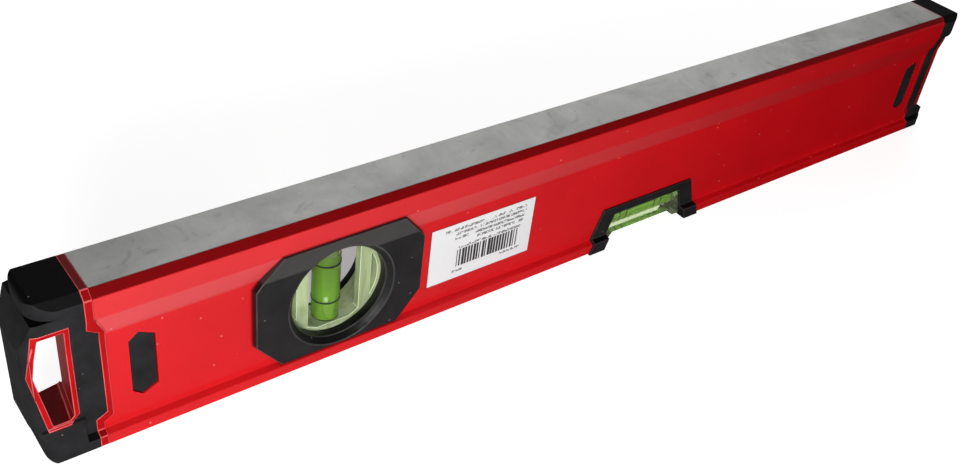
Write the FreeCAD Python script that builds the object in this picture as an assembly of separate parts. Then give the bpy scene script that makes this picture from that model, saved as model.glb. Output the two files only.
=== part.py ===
import FreeCAD, Part
import math
import os
from FreeCAD import Vector

# Box beam level, shown with its milled measuring face up and its narrow edge down.
# X runs along the beam, from the long cap to the short one. Z is up. The photographed side faces -Y.
# The origin is the middle of the bottom of the whole level. All sizes are millimetres.
# Places along the beam are measured from its near end, and places on a cap outwards from the beam's end.

# Beam extrusion
beam_length = 400.0
beam_height = 60.0
beam_width = 22.5
face_chamfer = 2.5
edge_chamfer = 0.8
web_recess = 2.6
face_flange_height = 9.8
face_slope_height = 8.5
edge_flange_height = 4.5
edge_slope_height = 0.7
profile_round = 0.5
web_wall = 1.6
face_wall = 3.0
edge_wall = 2.2

# Outer shape of the long cap, whose middle stands out between its two bumpers
near_cap_reach = 20.9
near_top_reach = 17.2
near_edge_reach = 18.0
near_top_height = 5.4
near_top_run = 10.1
near_edge_height = 10.0
near_edge_run = 5.3
near_edge_plan_round = 5.5
near_plan_round = 6.0
near_top_plan_round = 8.0
near_top_round = 2.0
near_edge_round = 3.0

# Outer shape of the short cap, whose two bumpers stand out beyond its middle
far_cap_reach = 7.5
far_bumper_reach = 13.5
far_top_height = 7.5
far_top_run = 3.0
far_edge_height = 8.5
far_edge_run = 3.5
far_plan_round = 2.2
far_bumper_plan_round = 5.5
far_bumper_round = 2.5

# Hard core, rubber and plug of the caps
tongue_length = 3.0
tongue_proud = 0.6
hole_zone_start = 6.0
hole_zone_proud = 1.2
step_proud = 1.8
step_top = 13.6
near_rim = 2.6
far_rim = 0.8
tongue_rim = 2.0
rubber_wall = 1.5
nose_start = 4.7
plug_length = 24.0
plug_wall = 2.0
plug_clearance = 0.15

# Hang hole of the long cap, which widens from the front to the back
mouth_high = 49.0
mouth_far = 16.0
mouth_point = 18.3
mouth_point_height = 35.0
mouth_cut = 1.2
front_mouth_near = 8.9
front_mouth_low = 15.1
back_mouth_near = 5.4
back_mouth_low = 9.5
back_mouth_rise = 1.5
lining_wall = 1.7

# Rubber inserts that lock the plugs
near_insert_from_end = 13.6
far_insert_from_end = 9.5
insert_width = 8.0
insert_low = 13.3
insert_high = 38.2
insert_slant = 2.6
insert_apex_shift = 1.0
insert_sink = 0.3
insert_clearance = 0.1

# Plumb vial and its bezels
window_from_end = 80.6
window_height = 25.7
window_radius = 17.8
window_mouth_radius = 19.9
bevel_depth = 2.0
bezel_half_length = 31.3
bezel_low = 5.3
bezel_high = 50.0
bezel_corner_run = 9.1
bezel_corner_rise = 11.0
bezel_round = 1.0
bezel_thickness = 2.4
bezel_top_proud = 1.0
barrel_wall = 1.4
barrel_clearance = 0.2
carrier_half_thickness = 5.5
carrier_opening_radius = 16.6
carrier_floor = 10.2
rib_gap = 9.7
rib_width = 4.4
rib_depth = 3.0
plumb_vial_radius = 4.8
plumb_bore_radius = 3.9
plumb_vial_low = 8.6
plumb_vial_high = 43.6
plumb_vial_floor = 1.6
plumb_stopper_height = 2.4
plumb_bubble_height = 4.5
meniscus_depth = 1.4
plumb_ring_gap = 7.7
ring_width = 0.5
ring_depth = 0.15

# Level vial and its frame in the notch of the narrow edge
notch_from_end = 223.4
frame_top = 18.3
frame_top_half = 24.0
frame_bottom_half = 30.4
frame_proud = 0.9
frame_round = 1.2
frame_side_overlap = 2.6
frame_top_overlap = 0.9
frame_floor_gap = 0.3
light_top = 14.7
light_top_half = 17.8
light_bottom_half = 22.4
notch_clearance = 0.15
block_half_thickness = 8.4
block_top_half = 20.4
block_foot_half = 24.0
block_top = 16.3
block_foot = 1.4
block_foot_length = 5.6
block_arch_half = 15.9
block_arch_low = 4.6
block_round = 0.9
level_bore_radius = 4.2
level_bore_height = 10.2
level_bore_half = 17.5
level_bubble_half = 6.3
level_bubble_depth = 3.4
level_bubble_round = 1.5
level_bubble_shift = -1.2
level_bubble_film = 0.15
level_ring_inner = 7.7
level_ring_outer = 11.3

# Label on the web
label_from_end = 116.6
label_length = 45.4
label_height = 24.4
label_from_slope = 4.7
label_thickness = 0.12

# Sizes worked out from the driving dimensions
overall_length = near_cap_reach + beam_length + far_bumper_reach
near_end = near_cap_reach - overall_length / 2
far_end = near_end + beam_length
front = -beam_width / 2
web_front = front + web_recess
web_inside = web_front + web_wall
web_low = edge_flange_height + edge_slope_height
face_flange_low = beam_height - face_flange_height
web_high = face_flange_low - face_slope_height
barrel_radius = window_radius + barrel_wall
window_x = near_end + window_from_end
near_insert_x = near_end + near_insert_from_end
far_insert_x = far_end - far_insert_from_end
notch_x = near_end + notch_from_end
tool_reach = 5.0


def rounded_wire(points, radius):
    """A closed outline through the points, each corner rounded by a tangent arc."""
    arcs = []
    for i, corner in enumerate(points):
        before = (points[i - 1] - corner).normalize()
        after = (points[(i + 1) % len(points)] - corner).normalize()
        half_turn = before.getAngle(after) / 2
        start = corner + before * (radius / math.tan(half_turn))
        end = corner + after * (radius / math.tan(half_turn))
        middle = corner + (before + after).normalize() * (radius / math.sin(half_turn) - radius)
        arcs.append((start, middle, end))
    edges = []
    for i, (start, middle, end) in enumerate(arcs):
        edges.append(Part.Arc(start, middle, end).toShape())
        edges.append(Part.makeLine(end, arcs[(i + 1) % len(arcs)][0]))
    return Part.Wire(edges)


def flat_face(points, radius):
    """A flat face over a closed outline, with sharp corners where the radius is zero."""
    wire = rounded_wire(points, radius) if radius else Part.makePolygon(points + points[:1])
    return Part.Face(wire)


def side_prism(outline, low_y, high_y, radius=0.0):
    """A prism along Y over an outline of (x, z) pairs."""
    points = [Vector(x, low_y, z) for x, z in outline]
    return flat_face(points, radius).extrude(Vector(0, high_y - low_y, 0))


def through_prism(outline, radius=0.0):
    """A side prism that runs past both sides of the beam."""
    return side_prism(outline, front - tool_reach, tool_reach - front, radius)


def whole_section(half_outline):
    """Both halves of a section, from the front half's (y, z) pairs, from the bottom up."""
    return half_outline + [(-y, z) for y, z in reversed(half_outline)]


def section_face(half_outline, x, radius=0.0):
    """A face across the beam at x, over a section."""
    return flat_face([Vector(x, y, z) for y, z in whole_section(half_outline)], radius)


def section_prism(half_outline, low_x, high_x, radius=0.0):
    """A prism along X over a section."""
    return section_face(half_outline, low_x, radius).extrude(Vector(high_x - low_x, 0, 0))


def side_cylinder(radius, x, z, low_y, high_y):
    """A cylinder along Y."""
    return Part.makeCylinder(radius, high_y - low_y, Vector(x, low_y, z), Vector(0, 1, 0))


def upright_cylinder(radius, low_z, high_z):
    """A cylinder about the plumb vial's axis."""
    return Part.makeCylinder(radius, high_z - low_z, Vector(window_x, 0, low_z))


def on_back(shape):
    """The same piece on the other side of the beam."""
    return shape.mirror(Vector(0, 0, 0), Vector(0, 1, 0))


def beam_section():
    """Front half of the beam's section."""
    return [
        (front + edge_chamfer, 0.0),
        (front, edge_chamfer),
        (front, edge_flange_height),
        (web_front, web_low),
        (web_front, web_high),
        (front, face_flange_low),
        (front, beam_height - face_chamfer),
        (front + face_chamfer, beam_height),
    ]


def beam_hollow(gap, bottom, top, low_x, high_x):
    """The beam's section drawn in by a gap and cut level at the bottom and the top."""
    inner = section_face(beam_section(), low_x, profile_round).makeOffset2D(-gap)
    inner = inner.extrude(Vector(high_x - low_x, 0, 0))
    limits = Part.makeBox(high_x - low_x, beam_width, top - bottom, Vector(low_x, front, bottom))
    return inner.common(limits)


def insert_outline(middle, inward, grow=0.0):
    """Outline of a rubber insert. Inward is 1 at the near end of the beam and -1 at the far end."""
    half = insert_width / 2 + grow
    low = insert_low - grow
    high = insert_high + grow
    hexagon = [
        (-half, low + insert_slant),
        (-insert_apex_shift, low),
        (half, low + insert_slant),
        (half, high - insert_slant),
        (-insert_apex_shift, high),
        (-half, high - insert_slant),
    ]
    return [(middle + inward * x, z) for x, z in hexagon]


def trapezoid(top_half, bottom_half, top, low):
    """Outline that widens towards the narrow edge, cut off at a low height."""
    low_half = bottom_half - (bottom_half - top_half) * low / top
    return [
        (notch_x - low_half, low),
        (notch_x - top_half, top),
        (notch_x + top_half, top),
        (notch_x + low_half, low),
    ]


def notch_outline(gap, low):
    """Outline of the notch in the beam, which the frame overlaps all round, drawn in by a gap."""
    top_half = frame_top_half - frame_side_overlap - gap
    bottom_half = frame_bottom_half - frame_side_overlap - gap
    return trapezoid(top_half, bottom_half, frame_top - frame_top_overlap - gap, low)


def make_beam():
    """The extrusion, cut for the plumb window, the notch and the inserts."""
    solid = section_prism(beam_section(), near_end, far_end, profile_round)
    solid = solid.cut(beam_hollow(web_wall, edge_wall, beam_height - face_wall, near_end, far_end))
    hole = barrel_radius + barrel_clearance
    solid = solid.cut(side_cylinder(hole, window_x, window_height, front - tool_reach, tool_reach - front))
    solid = solid.cut(through_prism(notch_outline(0.0, -tool_reach)))
    solid = solid.cut(through_prism(insert_outline(near_insert_x, 1, insert_clearance)))
    return solid.cut(through_prism(insert_outline(far_insert_x, -1, insert_clearance)))


def make_plug(end, inward, insert_x):
    """The hollow plug of a cap, a sliding fit inside the beam, open at its inner end."""
    low_x = min(end, end + inward * plug_length)
    high_x = low_x + plug_length
    bottom = edge_wall + plug_clearance
    top = beam_height - face_wall - plug_clearance
    gap = web_wall + plug_clearance
    outside = beam_hollow(gap, bottom, top, low_x, high_x)
    inside = beam_hollow(gap + plug_wall, bottom + plug_wall, top - plug_wall, low_x, high_x)
    return outside.cut(inside).cut(through_prism(insert_outline(insert_x, inward)))


def make_insert(middle, inward):
    """A rubber insert, seated in the plug and passing through the web."""
    depth = web_inside + plug_clearance + plug_wall
    return side_prism(insert_outline(middle, inward), web_front + insert_sink, depth)


def cap_section(proud, stepped):
    """Front half of a cap's section. Its middle stands proud of the beam's web, with or without a lower step."""
    lower = [(web_front - proud, web_low + proud)]
    if stepped:
        step = web_front - step_proud
        lower = [(step, web_low + step_proud), (step, step_top), (web_front - proud, step_top + step_proud - proud)]
    flange = [(front + edge_chamfer, 0.0), (front, edge_chamfer), (front, edge_flange_height)]
    upper = [
        (web_front - proud, web_high),
        (front, face_flange_low),
        (front, beam_height - face_chamfer),
        (front + face_chamfer, beam_height),
    ]
    return flange + lower + upper


def near_levels():
    """The long cap's reach at each height where it changes."""
    return [
        (0.0, near_edge_reach),
        (near_edge_height, near_edge_reach),
        (near_edge_height + near_edge_run, near_cap_reach),
        (beam_height - near_top_height - near_top_run, near_cap_reach),
        (beam_height - near_top_height, near_top_reach),
        (beam_height, near_top_reach),
    ]


def far_levels():
    """The short cap's reach at each height where it changes."""
    return [
        (0.0, far_bumper_reach),
        (far_edge_height, far_bumper_reach),
        (far_edge_height + far_edge_run, far_cap_reach),
        (beam_height - far_top_height - far_top_run, far_cap_reach),
        (beam_height - far_top_height, far_bumper_reach),
        (beam_height, far_bumper_reach),
    ]


def cap_lump(end, inward, levels, rounds):
    """A cap's outer form: its side outline as a prism, with each layer rounded in plan at its outer corners."""
    root = end + inward * 2 * tool_reach
    outline = [(root, 0.0)] + [(end - inward * reach, z) for z, reach in levels] + [(root, beam_height)]
    layers = []
    for (low, low_reach), (high, high_reach), radius in zip(levels, levels[1:], rounds):
        tip = end - inward * max(low_reach, high_reach)
        corners = [(tip, front), (root, front), (root, -front), (tip, -front)]
        plan = flat_face([Vector(x, y, low) for x, y in corners], radius)
        layers.append(plan.extrude(Vector(0, 0, high - low)))
    return layers[0].multiFuse(layers[1:]).common(side_prism(outline, front, -front))


def corner_round(tip, inward, edge_z, up, radius):
    """The sliver that is cut off a bumper's outer edge to round it. Up is 1 at the top and -1 at the bottom."""
    axis_x = tip + inward * radius
    axis_z = edge_z - up * radius
    outer_x = tip - inward * tool_reach
    outer_z = edge_z + up * tool_reach
    outline = [(axis_x, axis_z), (outer_x, axis_z), (outer_x, outer_z), (axis_x, outer_z)]
    return through_prism(outline).cut(side_cylinder(radius, axis_x, axis_z, front - tool_reach, tool_reach - front))


def tongue_outline(end, inward):
    """Side outline of the part of a cap that lies on the beam's web."""
    tip = end + inward * tongue_length
    return [
        (end, web_low + tongue_length),
        (tip, web_low + tongue_length + tongue_rim),
        (tip, web_high + tongue_rim),
        (end, face_flange_low),
    ]


def rubber_outline(end, inward, rim_width):
    """Side outline of the rubber, which leaves a rim of the hard core along the joint."""
    rim = end - inward * rim_width
    tip = end + inward * (tongue_length - tongue_rim)
    outer = end - inward * (near_cap_reach + tool_reach)
    slope_low = web_low + tongue_length + tongue_rim
    return [
        (outer, -tool_reach),
        (rim, -tool_reach),
        (rim, slope_low),
        (tip, slope_low + tongue_rim),
        (tip, web_high + tongue_rim),
        (rim, web_high + tongue_rim + rim_width),
        (rim, beam_height + tool_reach),
        (outer, beam_height + tool_reach),
    ]


def mouth_outline(y, near, low, rise, grow):
    """The hang hole's outline at a side of the cap. Its floor rises towards the beam."""
    outline = [
        (mouth_far + grow, mouth_high + grow),
        (mouth_point + grow, mouth_point_height),
        (mouth_far - mouth_cut + grow, low - grow),
        (near + mouth_cut, low + rise - grow),
        (near - grow, low + rise + mouth_cut),
        (near - grow, mouth_high + grow),
    ]
    points = [Vector(near_end - out, y, z) for out, z in outline]
    return Part.makePolygon(points + points[:1])


def hang_hole(grow=0.0):
    """The drafted hang hole as a solid, or the hole with its lining."""
    front_mouth = mouth_outline(front, front_mouth_near, front_mouth_low, 0.0, grow)
    back_mouth = mouth_outline(-front, back_mouth_near, back_mouth_low, back_mouth_rise, grow)
    return Part.makeLoft([front_mouth, back_mouth], True, True)


def near_blank():
    """The long cap as one lump, with the hang hole cut."""
    rounds = [near_edge_plan_round] + [near_plan_round] * 3 + [near_top_plan_round]
    lump = cap_lump(near_end, 1, near_levels(), rounds)
    lump = lump.cut(corner_round(near_end - near_top_reach, 1, beam_height, 1, near_top_round))
    lump = lump.cut(corner_round(near_end - near_edge_reach, 1, 0.0, -1, near_edge_round))
    zone = near_end - hole_zone_start
    around_hole = section_prism(cap_section(hole_zone_proud, True), near_end - near_cap_reach, zone)
    at_joint = section_prism(cap_section(tongue_proud, False), zone, near_end)
    lump = lump.common(around_hole.fuse(at_joint))
    return lump.fuse(make_tongues(near_end, 1)).cut(hang_hole())


def far_blank():
    """The short cap as one lump."""
    tip = far_end + far_bumper_reach
    rounds = [far_bumper_plan_round] * 2 + [far_plan_round] + [far_bumper_plan_round] * 2
    lump = cap_lump(far_end, -1, far_levels(), rounds)
    lump = lump.cut(corner_round(tip, -1, beam_height, 1, far_bumper_round))
    lump = lump.cut(corner_round(tip, -1, 0.0, -1, far_bumper_round))
    shape = section_prism(cap_section(tongue_proud, False), far_end, tip)
    return lump.common(shape).fuse(make_tongues(far_end, -1))


def make_tongues(end, inward):
    """The thin tongues of a cap that lie on the two webs and hide the beam's cut edge."""
    low_x = min(end, end + inward * tongue_length)
    high_x = low_x + tongue_length
    tongue = side_prism(tongue_outline(end, inward), front, 0.0)
    tongue = tongue.common(section_prism(cap_section(tongue_proud, False), low_x, high_x))
    tongue = tongue.cut(section_prism(beam_section(), low_x, high_x, profile_round))
    return tongue.fuse(on_back(tongue))


def core_block(end, inward, levels, depth):
    """The hard core inside the rubber: the cap's side outline drawn in by the rubber's wall."""
    root = end + inward * tool_reach
    outline = [(root, 0.0)] + [(end - inward * reach, z) for z, reach in levels] + [(root, beam_height)]
    face = flat_face([Vector(x, -depth, z) for x, z in outline], 0.0)
    return face.makeOffset2D(-rubber_wall).extrude(Vector(0, 2 * depth, 0))


def make_near_cap():
    """Core and bumper of the long cap."""
    blank = near_blank()
    rubber_zone = through_prism(rubber_outline(near_end, 1, near_rim))
    inside = core_block(near_end, 1, near_levels(), -web_front - rubber_wall)
    core = blank.cut(rubber_zone).fuse(blank.common(inside.fuse(hang_hole(lining_wall))))
    bumper = blank.cut(core)
    return core.fuse(make_plug(near_end, 1, near_insert_x)).removeSplitter(), bumper.removeSplitter()


def make_far_cap():
    """Core and bumper of the short cap, whose core shows as a nose between the two ends of the bumper."""
    blank = far_blank()
    rubber_zone = through_prism(rubber_outline(far_end, -1, far_rim))
    inside = core_block(far_end, -1, far_levels(), -web_front - rubber_wall)
    nose_low = far_edge_height + far_edge_run
    nose_high = beam_height - far_top_height - far_top_run
    nose_corner = Vector(far_end + nose_start, front, nose_low)
    nose = Part.makeBox(far_bumper_reach, beam_width, nose_high - nose_low, nose_corner)
    core = blank.cut(rubber_zone).fuse(blank.common(inside.fuse(nose)))
    bumper = blank.cut(core)
    return core.fuse(make_plug(far_end, -1, far_insert_x)).removeSplitter(), bumper.removeSplitter()


def make_bezel():
    """Front bezel of the plumb vial: an eight-sided plate that follows the web and the slope, with a beveled barrel."""
    low_x = window_x - bezel_half_length
    high_x = window_x + bezel_half_length
    octagon = [
        (low_x + bezel_corner_run, bezel_low),
        (high_x - bezel_corner_run, bezel_low),
        (high_x, bezel_low + bezel_corner_rise),
        (high_x, bezel_high - bezel_corner_rise),
        (high_x - bezel_corner_run, bezel_high),
        (low_x + bezel_corner_run, bezel_high),
        (low_x, bezel_high - bezel_corner_rise),
        (low_x, bezel_low + bezel_corner_rise),
    ]
    plate_front = web_front - bezel_thickness
    plate_section = [
        (plate_front, 0.0),
        (plate_front, web_high),
        (front - bezel_top_proud, face_flange_low),
        (front - bezel_top_proud, beam_height),
    ]
    plate = side_prism(octagon, front - tool_reach, 0.0, bezel_round)
    plate = plate.common(section_prism(plate_section, low_x, high_x))
    plate = plate.cut(section_prism(beam_section(), low_x, high_x, profile_round))
    barrel = side_cylinder(barrel_radius, window_x, window_height, plate_front, -carrier_half_thickness)
    shape = plate.fuse(barrel)
    bore = side_cylinder(window_radius, window_x, window_height, front - tool_reach, 0.0)
    spread = (window_mouth_radius - window_radius) / bevel_depth
    bevel_length = bevel_depth + tool_reach
    bevel_mouth = window_radius + spread * bevel_length
    bevel_base = Vector(window_x, plate_front - tool_reach, window_height)
    bevel = Part.makeCone(bevel_mouth, window_radius, bevel_length, bevel_base, Vector(0, 1, 0))
    return shape.cut(bore).cut(bevel).removeSplitter()


def make_carrier():
    """The clear block that fills the window: a disc with an opening, a floor and two ribs round the vial."""
    depth = carrier_half_thickness
    disc = side_cylinder(barrel_radius, window_x, window_height, -depth, depth)
    opening = side_cylinder(carrier_opening_radius, window_x, window_height, -depth, depth)
    size = 2 * barrel_radius
    above = Part.makeBox(size, 2 * depth, size, Vector(window_x - barrel_radius, -depth, carrier_floor))
    opening = opening.common(above)
    shape = disc.cut(opening)
    for side_x in (window_x - rib_gap - rib_width, window_x + rib_gap):
        rib = Part.makeBox(rib_width, rib_depth, size, Vector(side_x, -depth, carrier_floor))
        shape = shape.fuse(rib.common(opening))
    socket = upright_cylinder(plumb_vial_radius, plumb_vial_low, plumb_vial_high)
    return shape.cut(socket).removeSplitter()


def make_plumb_rings():
    """Two reading rings round the plumb vial, either side of its middle."""
    rings = []
    for z in (window_height - plumb_ring_gap, window_height + plumb_ring_gap):
        band = upright_cylinder(plumb_vial_radius + ring_depth, z - ring_width / 2, z + ring_width / 2)
        rings.append(band.cut(upright_cylinder(plumb_vial_radius, z - ring_width / 2, z + ring_width / 2)))
    return Part.makeCompound(rings)


def make_plumb_vial():
    """The clear tube of the plumb vial, its stopper and its liquid, with the bubble above the liquid."""
    tube = upright_cylinder(plumb_vial_radius, plumb_vial_low, plumb_vial_high)
    bore_low = plumb_vial_low + plumb_vial_floor
    tube = tube.cut(upright_cylinder(plumb_bore_radius, bore_low, plumb_vial_high))
    stopper_low = plumb_vial_high - plumb_stopper_height
    stopper = upright_cylinder(plumb_bore_radius, stopper_low, plumb_vial_high)
    surface = stopper_low - plumb_bubble_height
    profile = [Vector(window_x, 0, bore_low), Vector(window_x + plumb_bore_radius, 0, bore_low)]
    meniscus_steps = 2
    for i in range(meniscus_steps + 1):
        share = 1 - i / meniscus_steps
        dip = meniscus_depth * (1 - share ** 2)
        profile.append(Vector(window_x + share * plumb_bore_radius, 0, surface - dip))
    liquid = flat_face(profile, 0.0).revolve(profile[0], Vector(0, 0, 1), 360)
    return tube, stopper, liquid


def make_frame():
    """Front half of the level vial's frame: a plate that follows the beam's section and a saddle round the block."""
    shape_x = frame_bottom_half + tool_reach
    proud_section = [
        (front - frame_proud, 0.0),
        (front - frame_proud, edge_flange_height + frame_proud),
        (web_front - frame_proud, web_low + frame_proud),
        (web_front - frame_proud, beam_height),
    ]
    outline = trapezoid(frame_top_half, frame_bottom_half, frame_top, frame_floor_gap)
    plate = side_prism(outline, front - tool_reach, 0.0)
    edges = [e for e in plate.Edges if is_upper_corner(e)]
    plate = plate.makeFillet(frame_round, edges)
    around = section_prism(proud_section, notch_x - shape_x, notch_x + shape_x)
    plate = plate.common(around)
    plate = plate.cut(section_prism(beam_section(), notch_x - shape_x, notch_x + shape_x, profile_round))
    saddle = side_prism(notch_outline(notch_clearance, frame_floor_gap), front - tool_reach, 0.0)
    saddle = saddle.common(around)
    light = through_prism(trapezoid(light_top_half, light_bottom_half, light_top, -tool_reach))
    return plate.fuse(saddle).cut(light).cut(block_shape()).removeSplitter()


def is_upper_corner(edge):
    """Whether an edge runs across the frame at one of its two upper corners."""
    centre = edge.CenterOfMass
    across = abs(edge.Vertexes[0].Z - edge.Vertexes[-1].Z) < 0.001 and abs(centre.z - frame_top) < 0.001
    return across and abs(abs(centre.x - notch_x) - frame_top_half) < 0.001


def block_shape():
    """The clear block of the level vial as one lump, with slanted ends and an arch between its two feet."""
    foot_inner = block_foot_half - block_foot_length
    outline = [
        (-block_foot_half, block_foot),
        (-block_top_half, block_top),
        (block_top_half, block_top),
        (block_foot_half, block_foot),
        (foot_inner, block_foot),
        (block_arch_half, block_arch_low),
        (-block_arch_half, block_arch_low),
        (-foot_inner, block_foot),
    ]
    placed = [(notch_x + x, z) for x, z in outline]
    return side_prism(placed, -block_half_thickness, block_half_thickness, block_round)


def level_cylinder(radius, low_x, high_x):
    """A cylinder about the level vial's axis."""
    base = Vector(notch_x + low_x, 0, level_bore_height)
    return Part.makeCylinder(radius, high_x - low_x, base, Vector(1, 0, 0))


def level_bubble():
    """The bubble: the top of the bore under a film of liquid, with a level underside and rounded ends."""
    middle = level_bubble_shift
    top = level_bore_height + level_bore_radius
    low = top - level_bubble_depth
    high = top + level_bubble_depth
    ends = (notch_x + middle - level_bubble_half, notch_x + middle + level_bubble_half)
    outline = [(ends[0], low), (ends[1], low), (ends[1], high), (ends[0], high)]
    under_film = level_cylinder(level_bore_radius - level_bubble_film, -level_bore_half, level_bore_half)
    return through_prism(outline, level_bubble_round).common(under_film)


def make_level_vial():
    """The clear block, its stopper, its liquid and its reading rings, which line the bore."""
    bore = level_cylinder(level_bore_radius, -level_bore_half, level_bore_half)
    stopper = level_cylinder(level_bore_radius, level_bore_half, block_foot_half).common(block_shape())
    block = block_shape().cut(bore).cut(stopper)
    rings = []
    for x in (-level_ring_outer, -level_ring_inner, level_ring_inner, level_ring_outer):
        band = level_cylinder(level_bore_radius, x - ring_width / 2, x + ring_width / 2)
        rings.append(band.cut(level_cylinder(level_bore_radius - ring_depth, x - ring_width, x + ring_width)))
    rings = Part.makeCompound(rings)
    liquid = bore.cut(level_bubble()).cut(rings)
    return block, stopper, liquid, rings


def make_label():
    """The sticker on the web."""
    low_x = near_end + label_from_end
    high_x = low_x + label_length
    top = web_high - label_from_slope
    bottom = top - label_height
    outline = [(low_x, bottom), (high_x, bottom), (high_x, top), (low_x, top)]
    return side_prism(outline, web_front - label_thickness, web_front)


near_core, near_bumper = make_near_cap()
far_core, far_bumper = make_far_cap()
bezel = make_bezel()
frame = make_frame()
near_insert = make_insert(near_insert_x, 1)
far_insert = make_insert(far_insert_x, -1)
plumb_tube, plumb_stopper, plumb_liquid = make_plumb_vial()
level_block, level_stopper, level_liquid, level_rings = make_level_vial()

nodes = {
    "beam": make_beam(),
    "near_cap_core": near_core,
    "near_cap_bumper": near_bumper,
    "near_insert_front": near_insert,
    "near_insert_back": on_back(near_insert),
    "far_cap_core": far_core,
    "far_cap_bumper": far_bumper,
    "far_insert_front": far_insert,
    "far_insert_back": on_back(far_insert),
    "plumb_bezel_front": bezel,
    "plumb_bezel_back": on_back(bezel),
    "plumb_carrier": make_carrier(),
    "plumb_vial": plumb_tube,
    "plumb_stopper": plumb_stopper,
    "plumb_liquid": plumb_liquid,
    "plumb_rings": make_plumb_rings(),
    "level_frame_front": frame,
    "level_frame_back": on_back(frame),
    "level_vial": level_block,
    "level_stopper": level_stopper,
    "level_liquid": level_liquid,
    "level_rings": level_rings,
    "label": make_label(),
}

os.makedirs("parts", exist_ok=True)
for name, shape in nodes.items():
    shape.exportStep("parts/" + name + ".step")
    print(name, len(shape.Solids), "solids", shape.isValid(), round(shape.Volume, 1))
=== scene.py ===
import bpy
from mathutils import Matrix, Vector

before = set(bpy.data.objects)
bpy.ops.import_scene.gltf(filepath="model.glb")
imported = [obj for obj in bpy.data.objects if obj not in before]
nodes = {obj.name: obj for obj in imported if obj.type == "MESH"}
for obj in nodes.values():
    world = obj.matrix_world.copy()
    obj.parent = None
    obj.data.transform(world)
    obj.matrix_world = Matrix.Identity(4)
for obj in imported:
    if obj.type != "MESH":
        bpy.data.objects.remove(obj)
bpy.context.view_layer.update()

# The studio. A pale floor, a soft light low at the front left that fades along the level, and a weak one
# behind it, which the milled face mirrors. The camera sees the floor glow white, apart from a strip
# close behind the level. The clear parts see it paler too. For all other light it is darker on the right.
FLOOR_SIZE = 6.0
FLOOR_WHITE = 0.85
FLOOR_DARK = 0.06
DARKENS_FROM = -0.17
DARKENS_TO = 0.14
FLOOR_GLOW = 0.80
GLOW_THROUGH = 0.42
STRIP_GLOW = 0.30
STRIP_FRONT = 0.010
STRIP_BACK = 0.060
STRIP_NEAR_END = -0.155
STRIP_FAR_END = 0.200
SKY_LOW = 0.16
SKY_HIGH = 0.05
SKY_DARKEST_AT = 0.6


# A value is either a plain number or colour, or what another node puts out.
def feed(tree, value, socket):
    if isinstance(value, bpy.types.NodeSocket):
        tree.links.new(value, socket)
    else:
        socket.default_value = value


def add_math(tree, operation, *values):
    node = tree.nodes.new("ShaderNodeMath")
    node.operation = operation
    for value, socket in zip(values, node.inputs):
        feed(tree, value, socket)
    return node.outputs["Value"]


# Between low and high, the value is turned into one between before and after.
def add_range(tree, value, low, high, before=0.0, after=1.0, smooth=False):
    node = tree.nodes.new("ShaderNodeMapRange")
    if smooth:
        node.interpolation_type = "SMOOTHSTEP"
    feed(tree, value, node.inputs["Value"])
    feed(tree, low, node.inputs["From Min"])
    feed(tree, high, node.inputs["From Max"])
    feed(tree, before, node.inputs["To Min"])
    feed(tree, after, node.inputs["To Max"])
    return node.outputs["Result"]


def add_mix(tree, factor, first, second, kind="RGBA"):
    node = tree.nodes.new("ShaderNodeMix")
    node.data_type = kind
    feed(tree, factor, node.inputs["Factor"])
    feed(tree, first, node.inputs["A"])
    feed(tree, second, node.inputs["B"])
    return node.outputs["Result"]


# Gives the point on the object as one vector, and its X, Y and Z.
def add_place(tree):
    coords = tree.nodes.new("ShaderNodeTexCoord")
    split = tree.nodes.new("ShaderNodeSeparateXYZ")
    tree.links.new(coords.outputs["Object"], split.inputs["Vector"])
    return coords.outputs["Object"], split.outputs


bpy.ops.object.select_all(action="DESELECT")
bpy.ops.mesh.primitive_plane_add(size=FLOOR_SIZE, location=(0.0, 0.0, 0.0))
floor = bpy.context.active_object
floor.name = "studio_floor"
floor_paint = bpy.data.materials.new("floor_paint")
floor_paint.use_nodes = True
tree = floor_paint.node_tree
shader = tree.nodes["Principled BSDF"]
shader.inputs["Roughness"].default_value = 0.9
shader.inputs["Specular IOR Level"].default_value = 0.1
point, place = add_place(tree)
lit = 0.0
for axis, side, blur, before, after in (
    ("Y", STRIP_BACK, 0.014, STRIP_GLOW, 1.0),
    ("Y", STRIP_FRONT, 0.006, 1.0, STRIP_GLOW),
    ("X", STRIP_NEAR_END, 0.010, 1.0, STRIP_GLOW),
    ("X", STRIP_FAR_END, 0.006, STRIP_GLOW, 1.0),
):
    step = add_range(tree, place[axis], side - blur, side + blur, before, after, smooth=True)
    lit = add_math(tree, "MAXIMUM", lit, step)
path = tree.nodes.new("ShaderNodeLightPath")
seen = add_math(tree, "MAXIMUM", path.outputs["Is Camera Ray"], path.outputs["Is Transmission Ray"])
dim = add_range(tree, place["X"], DARKENS_FROM, DARKENS_TO, FLOOR_WHITE, FLOOR_DARK, smooth=True)
tree.links.new(add_mix(tree, seen, dim, FLOOR_WHITE, "FLOAT"), shader.inputs["Base Color"])
glow = add_math(tree, "MULTIPLY", path.outputs["Is Camera Ray"], lit)
through = add_math(tree, "MULTIPLY", path.outputs["Is Transmission Ray"], GLOW_THROUGH)
strength = add_math(tree, "MULTIPLY_ADD", glow, FLOOR_GLOW, through)
shader.inputs["Emission Color"].default_value = (1.0, 1.0, 1.0, 1.0)
tree.links.new(strength, shader.inputs["Emission Strength"])
floor.data.materials.append(floor_paint)

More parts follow.
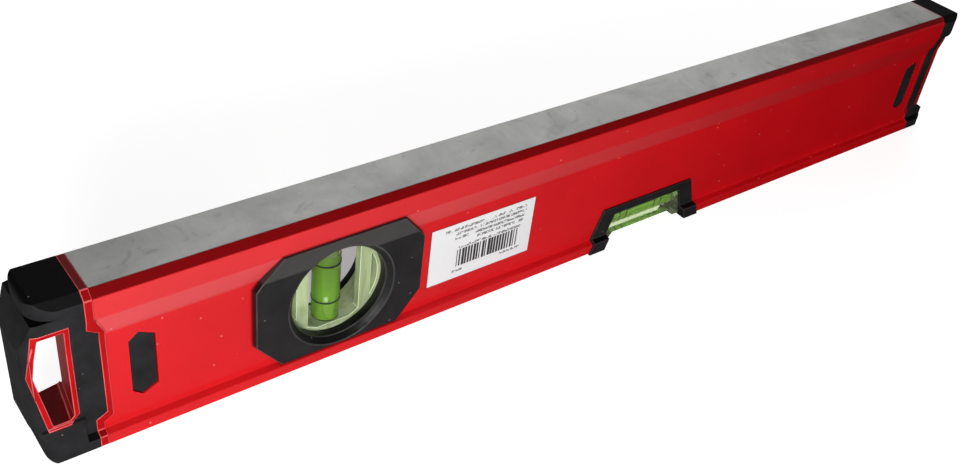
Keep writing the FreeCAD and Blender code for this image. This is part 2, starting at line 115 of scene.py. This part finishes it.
sky = bpy.data.worlds.new("studio_sky")
sky.use_nodes = True
tree = sky.node_tree
background = tree.nodes["Background"]
coords = tree.nodes.new("ShaderNodeTexCoord")
split = tree.nodes.new("ShaderNodeSeparateXYZ")
tree.links.new(coords.outputs["Generated"], split.inputs["Vector"])
rise = add_range(tree, split.outputs["Z"], 0.0, SKY_DARKEST_AT, SKY_LOW, SKY_HIGH)
path = tree.nodes.new("ShaderNodeLightPath")
bright = add_math(tree, "MAXIMUM", path.outputs["Is Camera Ray"], rise)
tree.links.new(bright, background.inputs["Strength"])
background.inputs["Color"].default_value = (1.0, 1.0, 1.0, 1.0)
bpy.context.scene.world = sky

for light_name, stand, target, width, height, watts in (
    ("front_softbox", (-0.41, -0.59, 0.21), (-0.13, 0.0, 0.03), 0.34, 0.24, 4.3),
    ("back_softbox", (0.62, 0.85, 0.82), (-0.02, 0.0, 0.03), 1.4, 1.0, 4.4),
):
    lamp_data = bpy.data.lights.new(light_name, "AREA")
    lamp_data.shape = "RECTANGLE"
    lamp_data.size = width
    lamp_data.size_y = height
    lamp_data.energy = watts
    lamp = bpy.data.objects.new(light_name, lamp_data)
    lamp.location = stand
    lamp.rotation_euler = (Vector(target) - Vector(stand)).to_track_quat("-Z", "Y").to_euler()
    bpy.context.scene.collection.objects.link(lamp)

# The camera stands at the long cap's end, above the level, and looks along it.
# Its place, turn and lens were fitted to the edges of the real level.
CAMERA_PLACE = (-0.270903, -0.249986, 0.266439)
CAMERA_RIGHT = Vector((0.7965135, -0.5943355, 0.1110476))
CAMERA_UP = Vector((0.2853438, 0.5314356, 0.7975933))
CAMERA_BACK = Vector((-0.5330527, -0.6036071, 0.5928856))
CAMERA_LENS = 42.344
CAMERA_SENSOR = 36.0

camera_data = bpy.data.cameras.new("photo_camera")
camera_data.lens = CAMERA_LENS
camera_data.sensor_width = CAMERA_SENSOR
camera_data.clip_start = 0.01
camera = bpy.data.objects.new("photo_camera", camera_data)
turn = Matrix((CAMERA_RIGHT, CAMERA_UP, CAMERA_BACK)).transposed()
camera.matrix_world = Matrix.Translation(CAMERA_PLACE) @ turn.to_4x4()
bpy.context.scene.collection.objects.link(camera)
bpy.context.scene.camera = camera
bpy.context.scene.view_settings.view_transform = "Standard"

# The beam is one aluminium extrusion. Its outside is powder coated glossy red, and the wide face on top
# is milled bare afterwards, which leaves a dull grey metal with faint marks and a few scuffs.
RED = (0.74, 0.003, 0.008, 1.0)
RED_DEEP = (0.66, 0.002, 0.006, 1.0)
RED_CHAMFER_SHADE = (0.22, 0.001, 0.002, 1.0)
RED_SHEEN_AND_DUST = (0.95, 0.40, 0.42, 1.0)
RED_CONTACT_SHADE = (0.05, 0.001, 0.001, 1.0)
MILLED = (0.52, 0.52, 0.50, 1.0)
MILLED_DARK = (0.37, 0.37, 0.36, 1.0)
MILLED_PIT = (0.22, 0.22, 0.21, 1.0)
BEAM_HEIGHT = 0.06
MILLED_FROM = 0.05992
COAT_ROUGHNESS = 0.30
MILLED_ROUGHNESS = 0.46
FINE_DEPTH = 0.00002

# Heights, as parts of the beam's own, and how much painted sheen, a painted reflection of the bright floor,
# the coat gets there at the near end.
SHEEN_LOWEST = (0.075, 0.15)
SHEEN_BETWEEN = ((0.088, 0.12), (0.690, 0.15), (0.715, 1.0), (0.825, 1.0), (0.845, 0.42), (0.953, 0.42))
SHEEN_HIGHEST = (0.965, 0.0)

# The painted shade on the chamfer starts lower at the near end than at the far one.
CHAMFER_NEAR_END = 0.05756
CHAMFER_FAR_END = 0.05830
CHAMFER_BLUR = 0.0002

# For the painted contact shade around the bezel and the sticker: the middle in X and Z, half of the length
# and height, how far the corners are cut off, how far the painted shade reaches, how dark it is, and the Y
# beyond which there is none.
SHADE_OUTLINES = (
    (-0.1157, 0.02765, 0.0313, 0.02235, 0.0070, 0.0009, 0.8, 1.0),
    (-0.0570, 0.02480, 0.0227, 0.01220, -1.0, 0.0005, 0.6, 0.0),
)
CORNER_SLANT_X = 0.770
CORNER_SLANT_Z = 0.637
SHADE_FROM = 0.0002


def add_noise(tree, point, scale, detail, roughness=0.5, distortion=0.0):
    node = tree.nodes.new("ShaderNodeTexNoise")
    feed(tree, point, node.inputs["Vector"])
    feed(tree, scale, node.inputs["Scale"])
    feed(tree, detail, node.inputs["Detail"])
    node.inputs["Roughness"].default_value = roughness
    node.inputs["Distortion"].default_value = distortion
    return node.outputs["Fac"]


# Small spots, full up to the inner distance from their middle and gone at the outer one.
def add_specks(tree, point, scale, inner, outer, most):
    node = tree.nodes.new("ShaderNodeTexVoronoi")
    node.inputs["Scale"].default_value = scale
    tree.links.new(point, node.inputs["Vector"])
    return add_range(tree, node.outputs["Distance"], inner, outer, most, 0.0)


grain = bpy.data.node_groups.new("fine_grain", "ShaderNodeTree")
for name in ("Scale", "Detail", "Low", "High"):
    grain.interface.new_socket(name=name, in_out="INPUT", socket_type="NodeSocketFloat")
grain.interface.new_socket(name="Height", in_out="OUTPUT", socket_type="NodeSocketFloat")
enter = grain.nodes.new("NodeGroupInput").outputs
leave = grain.nodes.new("NodeGroupOutput")
point, place = add_place(grain)
noise = add_noise(grain, point, enter["Scale"], enter["Detail"])
grain.links.new(add_range(grain, noise, 0.3, 0.7, enter["Low"], enter["High"]), leave.inputs["Height"])


def add_grain(tree, scale, detail, low=0.0, high=1.0):
    node = tree.nodes.new("ShaderNodeGroup")
    node.node_tree = grain
    node.inputs["Scale"].default_value = scale
    node.inputs["Detail"].default_value = detail
    node.inputs["Low"].default_value = low
    node.inputs["High"].default_value = high
    return node.outputs["Height"]


def add_bump(tree, shader, height, strength, depth):
    node = tree.nodes.new("ShaderNodeBump")
    node.inputs["Strength"].default_value = strength
    node.inputs["Distance"].default_value = depth
    tree.links.new(height, node.inputs["Height"])
    tree.links.new(node.outputs["Normal"], shader.inputs["Normal"])


# Empties a material that the piece came with, and gives it a new surface.
def start_again(material):
    material.use_nodes = True
    tree = material.node_tree
    tree.nodes.clear()
    out = tree.nodes.new("ShaderNodeOutputMaterial")
    shader = tree.nodes.new("ShaderNodeBsdfPrincipled")
    tree.links.new(shader.outputs["BSDF"], out.inputs["Surface"])
    return tree, shader


tree, shader = start_again(nodes["beam"].data.materials[0])
point, place = add_place(tree)
milled = add_math(tree, "GREATER_THAN", place["Z"], MILLED_FROM)

# Clouds, cutter marks across the beam, pits and scuffs on the milled face.
clouds = add_noise(tree, point, 38.0, 9.0, roughness=0.62, distortion=0.6)
across = tree.nodes.new("ShaderNodeMapping")
across.inputs["Scale"].default_value = (1.0, 0.04, 1.0)
tree.links.new(point, across.inputs["Vector"])
cutter = add_noise(tree, across.outputs["Vector"], 1800.0, 2.0)
marks = add_range(tree, add_math(tree, "MULTIPLY_ADD", cutter, 0.10, clouds), 0.40, 0.72)
metal = add_mix(tree, marks, MILLED, MILLED_DARK)
pits = add_specks(tree, point, 210.0, 0.04, 0.10, 0.5)
scuffs = add_range(tree, add_noise(tree, point, 75.0, 5.0, distortion=2.5), 0.60, 0.70, 0.0, 0.35)
metal = add_mix(tree, add_math(tree, "MAXIMUM", pits, scuffs), metal, MILLED_PIT)

# Painted reflection: the coat is painted palest on the slope and the flange, as a sheen of the bright
# floor, and this painted sheen fades along the beam. Specks of dust lie on it.
red = add_mix(tree, add_grain(tree, 35.0, 3.0), RED, RED_DEEP)
sheen_zones = tree.nodes.new("ShaderNodeValToRGB")
tree.links.new(add_math(tree, "DIVIDE", place["Z"], BEAM_HEIGHT), sheen_zones.inputs["Fac"])
stops = sheen_zones.color_ramp.elements
for stop, (position, level) in zip(stops, (SHEEN_LOWEST, SHEEN_HIGHEST)):
    stop.position = position
    stop.color = (level, level, level, 1.0)
for position, level in SHEEN_BETWEEN:
    stop = stops.new(position)
    stop.color = (level, level, level, 1.0)
sheen_fade = add_range(tree, place["X"], -0.20, 0.19, 0.19, 0.0)
painted_sheen = add_math(tree, "MULTIPLY", sheen_zones.outputs["Color"], sheen_fade)
dust = add_specks(tree, point, 150.0, 0.03, 0.07, 0.45)
red = add_mix(tree, add_math(tree, "ADD", painted_sheen, dust), red, RED_SHEEN_AND_DUST)

# Painted shade: the chamfer beside the milled face is painted dark, as if it lay in shade.
chamfer_shade_from = add_range(tree, place["X"], -0.10, 0.20, CHAMFER_NEAR_END, CHAMFER_FAR_END)
past_chamfer = add_math(tree, "SUBTRACT", place["Z"], chamfer_shade_from)
red = add_mix(tree, add_range(tree, past_chamfer, -CHAMFER_BLUR, CHAMFER_BLUR), red, RED_CHAMFER_SHADE)

# Painted shade: a thin dark line, painted where contact shade falls, follows the eight sides of the bezel
# and the four of the sticker.
contact_shade = 0.0
for middle_x, middle_z, half_x, half_z, corner, reach, most, back_y in SHADE_OUTLINES:
    past = []
    for axis, middle, half in (("X", middle_x, half_x), ("Z", middle_z, half_z)):
        offset = add_math(tree, "ABSOLUTE", add_math(tree, "SUBTRACT", place[axis], middle))
        past.append(add_math(tree, "SUBTRACT", offset, half))
    slant = add_math(tree, "MULTIPLY_ADD", past[0], CORNER_SLANT_X, corner)
    slant = add_math(tree, "MULTIPLY_ADD", past[1], CORNER_SLANT_Z, slant)
    straight = add_math(tree, "MAXIMUM", past[0], past[1])
    apart = add_math(tree, "ABSOLUTE", add_math(tree, "MAXIMUM", straight, slant))
    line = add_range(tree, apart, SHADE_FROM, reach, most, 0.0)
    in_front = add_math(tree, "LESS_THAN", place["Y"], back_y)
    contact_shade = add_math(tree, "MAXIMUM", contact_shade, add_math(tree, "MULTIPLY", line, in_front))
red = add_mix(tree, contact_shade, red, RED_CONTACT_SHADE)

tree.links.new(add_mix(tree, milled, red, metal), shader.inputs["Base Color"])
tree.links.new(milled, shader.inputs["Metallic"])
roughness = add_mix(tree, milled, COAT_ROUGHNESS, MILLED_ROUGHNESS, "FLOAT")
tree.links.new(roughness, shader.inputs["Roughness"])
shader.inputs["Specular IOR Level"].default_value = 0.3
relief = add_mix(tree, milled, add_grain(tree, 700.0, 2.0), cutter, "FLOAT")
add_bump(tree, shader, relief, 0.25, FINE_DEPTH)

# The hard plastic cores of the two end caps are moulded in red. Each shows as a rim along the joint,
# and on the long cap also as the lining of the hang hole. The plugs behind them slide into the beam.
CORE_RED = (0.56, 0.003, 0.006, 1.0)
CORE_DEEP = (0.42, 0.002, 0.004, 1.0)
CORE_SHADE = (0.20, 0.001, 0.002, 1.0)


# How much a surface faces up: nothing below the low tilt, all of it above the high one.
def add_upward(tree, low, high):
    geometry = tree.nodes.new("ShaderNodeNewGeometry")
    split = tree.nodes.new("ShaderNodeSeparateXYZ")
    tree.links.new(geometry.outputs["Normal"], split.inputs["Vector"])
    return add_range(tree, split.outputs["Z"], low, high)


tree, shader = start_again(nodes["near_cap_core"].data.materials[0])
red = add_mix(tree, add_grain(tree, 90.0, 3.0), CORE_RED, CORE_DEEP)
# Painted shade: faces that look up are painted darker, towards the shade red.
red = add_mix(tree, add_upward(tree, 0.5, 0.9), red, CORE_SHADE)
tree.links.new(red, shader.inputs["Base Color"])
shader.inputs["Roughness"].default_value = 0.45
shader.inputs["Specular IOR Level"].default_value = 0.12
add_bump(tree, shader, add_grain(tree, 2600.0, 2.0), 0.3, FINE_DEPTH)

# The bumpers are black rubber moulded over the cores, and the hexagonal inserts that lock the plugs are
# rubber too, pressed in from outside. The plumb bezels and the frames of the notch are moulded from black
# plastic with a finer grain, and their upper slope is painted a little paler, as a painted reflection.
# Faces that look up are painted darkest, as painted shade.
RUBBER = (0.013, 0.013, 0.014, 1.0)
RUBBER_WORN = (0.026, 0.026, 0.028, 1.0)
BLACK = (0.012, 0.012, 0.013, 1.0)
BLACK_LIGHT = (0.020, 0.020, 0.021, 1.0)
BLACK_TOP_SHADE = (0.002, 0.002, 0.002, 1.0)
DUST_AND_SHEEN = (0.30, 0.29, 0.28, 1.0)
UPPER_FROM = 0.0414
UPPER_TO = 0.0422

for piece, dark, light, upper_sheen, roughness, gloss, grain_scale, grain_depth in (
    ("near_cap_bumper", RUBBER, RUBBER_WORN, 0.0, 0.70, 0.10, 1900.0, 0.00004),
    ("plumb_bezel_front", BLACK, BLACK_LIGHT, 0.14, 0.42, 0.20, 2600.0, 0.00003),
):
    tree, shader = start_again(nodes[piece].data.materials[0])
    point, place = add_place(tree)
    black = add_mix(tree, add_grain(tree, 120.0, 4.0), dark, light)
    # Painted shade: faces that look up are painted towards the darkest black.
    black = add_mix(tree, add_upward(tree, 0.35, 0.80), black, BLACK_TOP_SHADE)
    # Painted reflection: the upper slope is painted paler, towards the dust colour. Specks of real dust use
    # the same colour.
    upper_sheen_mask = add_range(tree, place["Z"], UPPER_FROM, UPPER_TO, 0.0, upper_sheen)
    dust_and_sheen = add_math(tree, "ADD", upper_sheen_mask, add_specks(tree, point, 170.0, 0.03, 0.06, 0.6))
    tree.links.new(add_mix(tree, dust_and_sheen, black, DUST_AND_SHEEN), shader.inputs["Base Color"])
    shader.inputs["Roughness"].default_value = roughness
    shader.inputs["Specular IOR Level"].default_value = gloss
    add_bump(tree, shader, add_grain(tree, grain_scale, 2.0), 0.5, grain_depth)

# The carrier is cast from cloudy acrylic with a green tint, the vials and stoppers are clearer. The spirit
# inside them is a strong yellow green, and the reading rings are matt black.
CARRIER_TINT = (0.76, 0.90, 0.52, 1.0)
VIAL_TINT = (0.88, 0.97, 0.66, 1.0)
BLOCK_TINT = (0.80, 0.94, 0.58, 1.0)
SPIRIT_GREEN = (0.46, 0.98, 0.006, 1.0)
RING_BLACK = (0.004, 0.008, 0.003, 1.0)
CLOUD_TINT = (1.0, 1.0, 0.92, 1.0)
# Painted reflection: dark green upright streaks stand in for reflections inside the clear parts.
STREAK_REFLECTION_TINT = (0.24, 0.46, 0.06, 1.0)
STREAK_STRETCH = 0.12

for name, holders, colour, clearness, roughness, index, cloudy, streaked in (
    ("carrier_acrylic", ("plumb_carrier",), CARRIER_TINT, 0.55, 0.04, 1.49, 0.16, 0.30),
    ("vial_acrylic", ("plumb_vial", "plumb_stopper"), VIAL_TINT, 0.96, 0.01, 1.49, 0.10, 0.15),
    ("block_acrylic", ("level_vial", "level_stopper"), BLOCK_TINT, 0.90, 0.03, 1.49, 0.10, 0.25),
    ("green_spirit", ("plumb_liquid", "level_liquid"), SPIRIT_GREEN, 0.45, 0.01, 1.36, 0.03, 0.20),
    ("ring_black", ("plumb_rings", "level_rings"), RING_BLACK, 0.0, 0.5, 1.45, 0.02, 0.0),
):
    clear = bpy.data.materials.new(name)
    clear.use_nodes = True
    tree = clear.node_tree
    shader = tree.nodes["Principled BSDF"]
    point, place = add_place(tree)
    upright = tree.nodes.new("ShaderNodeMapping")
    upright.inputs["Scale"].default_value = (1.0, 1.0, STREAK_STRETCH)
    tree.links.new(point, upright.inputs["Vector"])
    # Painted reflection: stretched noise gives the upright dark streaks of reflection.
    streaks = add_noise(tree, upright.outputs["Vector"], 520.0, 3.0)
    tint = add_mix(tree, add_grain(tree, 260.0, 3.0, 0.0, cloudy), colour, CLOUD_TINT)
    tint = add_mix(tree, add_range(tree, streaks, 0.50, 0.64, 0.0, streaked), tint, STREAK_REFLECTION_TINT)
    tree.links.new(tint, shader.inputs["Base Color"])
    shader.inputs["Transmission Weight"].default_value = clearness
    shader.inputs["Roughness"].default_value = roughness
    shader.inputs["IOR"].default_value = index
    for holder in holders:
        nodes[holder].data.materials[0] = clear

# The spirit wets the walls around it, and the rings are pressed tight, so each reaches a hair into them.
WELD_DISTANCE = 0.000002

for node, grow in (
    ("plumb_liquid", 0.00002),
    ("level_liquid", 0.00002),
    ("plumb_rings", 0.00002),
    ("level_rings", 0.00004),
):
    weld = nodes[node].modifiers.new("weld", "WELD")
    weld.merge_threshold = WELD_DISTANCE
    swell = nodes[node].modifiers.new("swell", "DISPLACE")
    swell.strength = grow
    swell.mid_level = 0.0

# The edges of the solid pieces are a little rounded, and each rounded edge is painted as a thin paler line,
# a painted highlight.
# It is palest at the near end, where the light falls.
CORE_EDGE_HIGHLIGHT = (0.86, 0.16, 0.17, 1.0)
CORE_EDGE_HIGHLIGHT_FAR = (0.60, 0.06, 0.07, 1.0)
RUBBER_EDGE_HIGHLIGHT = (0.030, 0.030, 0.030, 1.0)
BEZEL_EDGE_HIGHLIGHT = (0.080, 0.080, 0.078, 1.0)
FRAME_EDGE_HIGHLIGHT = (0.060, 0.060, 0.058, 1.0)
INSERT_EDGE_HIGHLIGHT = (0.030, 0.014, 0.014, 1.0)
CARRIER_EDGE_HIGHLIGHT = (0.88, 0.96, 0.70, 1.0)
SHARP_ANGLE = 0.5

for node, size, highlight, body_colour in (
    ("near_cap_core", 0.00028, CORE_EDGE_HIGHLIGHT, CORE_RED),
    ("far_cap_core", 0.00025, CORE_EDGE_HIGHLIGHT_FAR, CORE_RED),
    ("near_cap_bumper", 0.00050, RUBBER_EDGE_HIGHLIGHT, RUBBER),
    ("far_cap_bumper", 0.00050, RUBBER_EDGE_HIGHLIGHT, RUBBER),
    ("plumb_bezel_front", 0.00030, BEZEL_EDGE_HIGHLIGHT, BLACK),
    ("plumb_bezel_back", 0.00030, BEZEL_EDGE_HIGHLIGHT, BLACK),
    ("level_frame_front", 0.00025, FRAME_EDGE_HIGHLIGHT, BLACK),
    ("level_frame_back", 0.00025, FRAME_EDGE_HIGHLIGHT, BLACK),
    ("near_insert_front", 0.00045, INSERT_EDGE_HIGHLIGHT, RUBBER),
    ("near_insert_back", 0.00045, INSERT_EDGE_HIGHLIGHT, RUBBER),
    ("far_insert_front", 0.00045, INSERT_EDGE_HIGHLIGHT, RUBBER),
    ("far_insert_back", 0.00045, INSERT_EDGE_HIGHLIGHT, RUBBER),
    ("plumb_carrier", 0.00014, CARRIER_EDGE_HIGHLIGHT, CARRIER_TINT),
):
    edge = bpy.data.materials.new(node + "_edge")
    edge.use_nodes = True
    tree = edge.node_tree
    shader = tree.nodes["Principled BSDF"]
    point, place = add_place(tree)
    # Painted highlight: the pale edge line fades along the level, away from the light.
    highlight_fade = add_range(tree, place["X"], -0.10, 0.20, 1.0, 0.25)
    edge_highlight = add_math(tree, "MULTIPLY", add_grain(tree, 140.0, 4.0, 0.35, 1.0), highlight_fade)
    tree.links.new(add_mix(tree, edge_highlight, body_colour, highlight), shader.inputs["Base Color"])
    shader.inputs["Roughness"].default_value = 0.35
    shader.inputs["Specular IOR Level"].default_value = 0.3
    nodes[node].data.materials.append(edge)
    weld = nodes[node].modifiers.new("weld", "WELD")
    weld.merge_threshold = WELD_DISTANCE
    bevel = nodes[node].modifiers.new("edge_round", "BEVEL")
    bevel.width = size
    bevel.segments = 2
    bevel.limit_method = "ANGLE"
    bevel.angle_limit = SHARP_ANGLE
    bevel.use_clamp_overlap = node.endswith("bumper")
    bevel.loop_slide = False
    bevel.harden_normals = True
    bevel.material = 1

# The sticker on the web is white film, printed upside down with rows of tiny words and a bar code. Both are
# made of plain marks that say nothing. Each row gives its lower edge, height, left end and right end,
# counted from the sticker's lower left corner.
LABEL_WHITE = (0.94, 0.95, 0.96, 1.0)
PRINT_BLACK = (0.02, 0.02, 0.02, 1.0)
LABEL_X = -0.0797
LABEL_Z = 0.0126
TEXT_ROWS = (
    (0.02135, 0.00115, 0.0059, 0.0418),
    (0.01940, 0.00115, 0.0104, 0.0418),
    (0.01745, 0.00115, 0.0102, 0.0412),
    (0.01550, 0.00115, 0.0200, 0.0408),
    (0.01300, 0.00110, 0.0123, 0.0400),
    (0.00270, 0.00100, 0.0104, 0.0150),
    (0.00330, 0.00100, 0.0313, 0.0409),
)
BAR_ROW = (0.00510, 0.00756, 0.0118, 0.0395)
LETTER_CELL = (0.00045, 1.0, 0.00055)
LETTER_GAPS = 0.34
WORD_CELL = (0.00160, 1.0, 0.00195)
WORD_GAPS = 0.15
LETTER_INK = 0.75
BAR_CELL = (0.00128, 1.0, 1.0)
BAR_SPREAD = 0.55
BAR_THINNEST = 0.34


# Divides the sticker into cells, and gives the place counted in cells and a chance from 0 to 1 for each.
def add_cells(tree, point, size):
    cells = tree.nodes.new("ShaderNodeVectorMath")
    cells.operation = "DIVIDE"
    cells.inputs[1].default_value = size
    tree.links.new(point, cells.inputs[0])
    whole = tree.nodes.new("ShaderNodeVectorMath")
    whole.operation = "FLOOR"
    tree.links.new(cells.outputs["Vector"], whole.inputs[0])
    chance = tree.nodes.new("ShaderNodeTexWhiteNoise")
    tree.links.new(whole.outputs["Vector"], chance.inputs["Vector"])
    return cells.outputs["Vector"], chance.outputs["Value"]


tree, shader = start_again(nodes["label"].data.materials[0])
point, place = add_place(tree)
on_label = tree.nodes.new("ShaderNodeMapping")
on_label.inputs["Location"].default_value = (-LABEL_X, 0.0, -LABEL_Z)
tree.links.new(point, on_label.inputs["Vector"])
split = tree.nodes.new("ShaderNodeSeparateXYZ")
tree.links.new(on_label.outputs["Vector"], split.inputs["Vector"])

letters = LETTER_INK
for size, gaps in ((LETTER_CELL, LETTER_GAPS), (WORD_CELL, WORD_GAPS)):
    cells, chance = add_cells(tree, on_label.outputs["Vector"], size)
    inked = add_math(tree, "GREATER_THAN", chance, gaps)
    letters = add_math(tree, "MULTIPLY", letters, inked)
cells, chance = add_cells(tree, on_label.outputs["Vector"], BAR_CELL)
within = tree.nodes.new("ShaderNodeVectorMath")
within.operation = "FRACTION"
tree.links.new(cells, within.inputs[0])
part = tree.nodes.new("ShaderNodeSeparateXYZ")
tree.links.new(within.outputs["Vector"], part.inputs["Vector"])
width = add_math(tree, "MULTIPLY_ADD", chance, BAR_SPREAD, BAR_THINNEST)
bars = add_math(tree, "LESS_THAN", part.outputs["X"], width)

printed = 0.0
for rows, pattern in ((TEXT_ROWS, letters), ((BAR_ROW,), bars)):
    for low, tall, left, right in rows:
        inside = add_math(tree, "COMPARE", split.outputs["Z"], low + tall / 2, tall / 2)
        between = add_math(tree, "COMPARE", split.outputs["X"], (left + right) / 2, (right - left) / 2)
        area = add_math(tree, "MULTIPLY", inside, between)
        ink = add_math(tree, "MULTIPLY", area, pattern)
        printed = add_math(tree, "MAXIMUM", printed, ink)
tree.links.new(add_mix(tree, printed, LABEL_WHITE, PRINT_BLACK), shader.inputs["Base Color"])
shader.inputs["Roughness"].default_value = 0.35
add_bump(tree, shader, add_grain(tree, 300.0, 2.0), 0.15, FINE_DEPTH)
